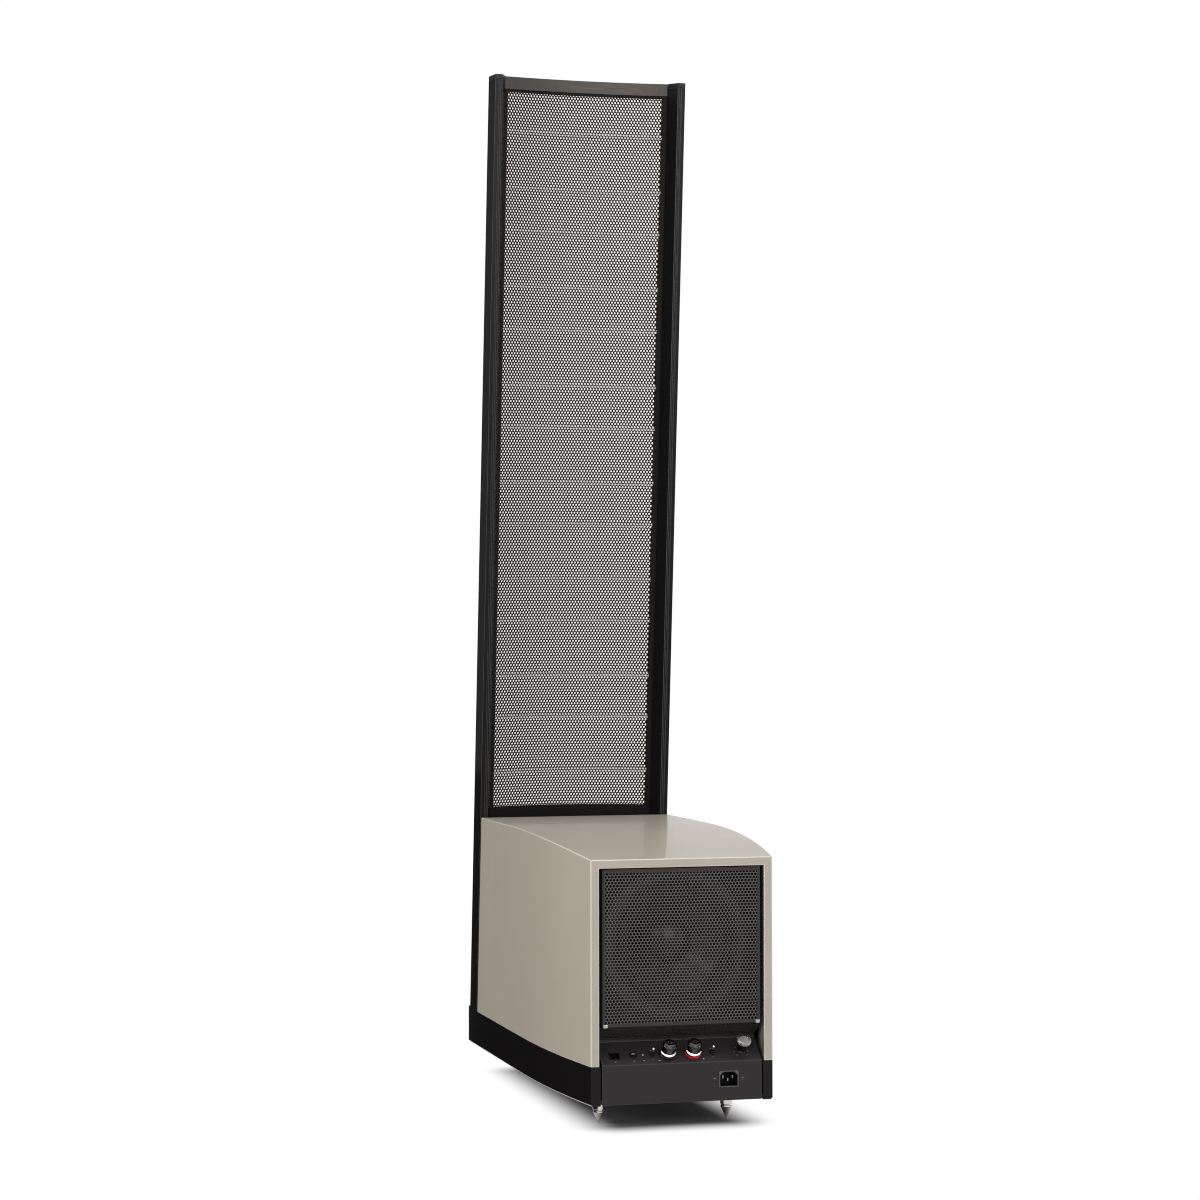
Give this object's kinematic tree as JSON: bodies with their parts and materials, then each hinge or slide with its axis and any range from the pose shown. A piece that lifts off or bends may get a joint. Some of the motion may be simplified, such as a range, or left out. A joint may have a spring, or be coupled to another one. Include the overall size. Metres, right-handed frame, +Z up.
{
  "type": "floorstanding speaker",
  "caption": "Floorstanding speaker: a tall curved perforated radiating panel between slim rails, leaning over a powered bass cabinet with a woofer at each end, on a spiked plinth",
  "frame": {"origin": "on the floor, under the middle of the whole", "axes": "+Z up, +X across the width, -Y to the front where the listener sits, +Y to the rear with the controls"},
  "size_m": [0.302, 0.6844, 1.5409],
  "materials": {
    "satin_black_metal": "satin black anodised",
    "brushed_grey_metal": "brushed, dark anodised",
    "black_crossbar": "satin black",
    "perforated_sheet": "satin charcoal",
    "clear_film": "clear polymer film",
    "spacer_plastic": "matt",
    "gloss_lacquer": "high gloss warm grey-beige lacquer on board",
    "raw_board": "matt black",
    "bright_clip": "bright",
    "satin_black_board": "satin black lacquer",
    "plate_metal": "dark",
    "insert_brass": "turned",
    "spike_steel": "polished",
    "basket_metal": "satin black",
    "motor_steel": "dark zinc",
    "coil_wire": "enamelled copper",
    "cone_metal": "dark anodised",
    "surround_rubber": "matt",
    "spider_cloth": "woven",
    "charcoal_panel": "satin charcoal",
    "terminal_black": "gloss",
    "terminal_metal": "plated",
    "bright_ring": "polished",
    "smoked_clear": "clear, smoked",
    "knob_silver": "knurled",
    "control_metal": "satin",
    "lever_metal": "polished",
    "inlet_plastic": "satin",
    "pin_metal": "plated",
    "screw_metal": "blackened",
    "transformer": "wrapped core",
    "circuit_board": "board with parts"
  },
  "bodies": {
    "speaker": {"left_rail": "satin_black_metal", "right_rail": "satin_black_metal", "rail_caps": "satin_black_metal", "top_crossbar": "brushed_grey_metal", "bottom_crossbar": "black_crossbar", "front_stator": "perforated_sheet", "rear_stator": "perforated_sheet", "front_grille": "perforated_sheet", "rear_grille": "perforated_sheet", "diaphragm": "clear_film", "edge_insulators": "spacer_plastic", "spars": "spacer_plastic", "cabinet_shell": "gloss_lacquer", "front_baffle": "raw_board", "rear_baffle": "raw_board", "chamber_divider": "raw_board", "cabinet_floor": "raw_board", "amp_bay_cover": "raw_board", "grille_clips": "bright_clip", "plinth_skirt": "satin_black_board", "base_plate": "plate_metal", "spike_inserts": "insert_brass", "front_basket": "basket_metal", "rear_basket": "basket_metal", "front_motor": "motor_steel", "rear_motor": "motor_steel", "front_surround": "surround_rubber", "rear_surround": "surround_rubber", "front_spider": "spider_cloth", "rear_spider": "spider_cloth", "control_panel": "charcoal_panel", "terminal_bases": "terminal_black", "jack_and_light": "terminal_black", "data_socket": "terminal_black", "terminal_studs": "terminal_metal", "level_pot": "control_metal", "toggle_bushes": "control_metal", "mains_inlet": "inlet_plastic", "inlet_pins": "pin_metal", "inlet_screws": "screw_metal", "power_transformer": "transformer", "audio_transformer": "transformer", "amplifier_board": "circuit_board"},
    "black_ring": {"black_ring": "bright_ring"},
    "black_cap": {"black_cap": "smoked_clear"},
    "red_ring": {"red_ring": "bright_ring"},
    "red_cap": {"red_cap": "smoked_clear"},
    "level_knob": {"level_knob": "knob_silver"},
    "toggle_lever_a": {"toggle_lever_a": "lever_metal"},
    "toggle_lever_b": {"toggle_lever_b": "lever_metal"},
    "front_driver": {"front_cone": "cone_metal", "front_dust_cap": "cone_metal", "front_coil": "coil_wire"},
    "rear_driver": {"rear_cone": "cone_metal", "rear_dust_cap": "cone_metal", "rear_coil": "coil_wire"},
    "spike_front_left": {"spike_front_left": "spike_steel"},
    "spike_front_right": {"spike_front_right": "spike_steel"},
    "spike_rear_left": {"spike_rear_left": "spike_steel"},
    "spike_rear_right": {"spike_rear_right": "spike_steel"}
  },
  "joints": [
    {"name": "black_terminal_travel", "type": "slide", "parent": "speaker", "child": "black_ring", "axis": [0, 0.6428, 0.766], "range_m": [0, 0.005]},
    {"name": "black_terminal_turn", "type": "hinge", "parent": "black_ring", "child": "black_cap", "pos_m": [0.018, 0.32685, 0.1138], "axis": [0, 0.6428, 0.766], "range_deg": [0, 1800]},
    {"name": "red_terminal_travel", "type": "slide", "parent": "speaker", "child": "red_ring", "axis": [0, 0.6428, 0.766], "range_m": [0, 0.005]},
    {"name": "red_terminal_turn", "type": "hinge", "parent": "red_ring", "child": "red_cap", "pos_m": [-0.018, 0.32685, 0.1138], "axis": [0, 0.6428, 0.766], "range_deg": [0, 1800]},
    {"name": "level_knob_turn", "type": "hinge", "parent": "speaker", "child": "level_knob", "pos_m": [-0.08796, 0.32685, 0.1138], "axis": [0, 0.6428, 0.766], "range_deg": [-150, 150]},
    {"name": "toggle_a_tilt", "type": "hinge", "parent": "speaker", "child": "toggle_lever_a", "pos_m": [0.04, 0.31978, 0.10537], "axis": [1, 0, 0], "range_deg": [-12, 12]},
    {"name": "toggle_b_tilt", "type": "hinge", "parent": "speaker", "child": "toggle_lever_b", "pos_m": [-0.046, 0.31978, 0.10537], "axis": [1, 0, 0], "range_deg": [-12, 12]},
    {"name": "front_driver_travel", "type": "slide", "parent": "speaker", "child": "front_driver", "axis": [0, -0.9956, 0.0941], "range_m": [-0.008, 0.008], "stiffness_N_per_m": 1500, "deforming": ["front_surround", "front_spider"]},
    {"name": "rear_driver_travel", "type": "slide", "parent": "speaker", "child": "rear_driver", "axis": [0, 1, 0], "range_m": [-0.008, 0.008], "stiffness_N_per_m": 1500, "deforming": ["rear_surround", "rear_spider"]},
    {"name": "front_left_spike_travel", "type": "slide", "parent": "speaker", "child": "spike_front_left", "axis": [0, 0, 1], "range_m": [-0.01, 0]},
    {"name": "front_right_spike_travel", "type": "slide", "parent": "speaker", "child": "spike_front_right", "axis": [0, 0, 1], "range_m": [-0.01, 0]},
    {"name": "rear_left_spike_travel", "type": "slide", "parent": "speaker", "child": "spike_rear_left", "axis": [0, 0, 1], "range_m": [-0.01, 0]},
    {"name": "rear_right_spike_travel", "type": "slide", "parent": "speaker", "child": "spike_rear_right", "axis": [0, 0, 1], "range_m": [-0.01, 0]}
  ],
  "couplings": [
    {"joint": "black_terminal_travel", "follows": "black_terminal_turn", "m_per_rad": 0.00015915},
    {"joint": "red_terminal_travel", "follows": "red_terminal_turn", "m_per_rad": 0.00015915}
  ]
}
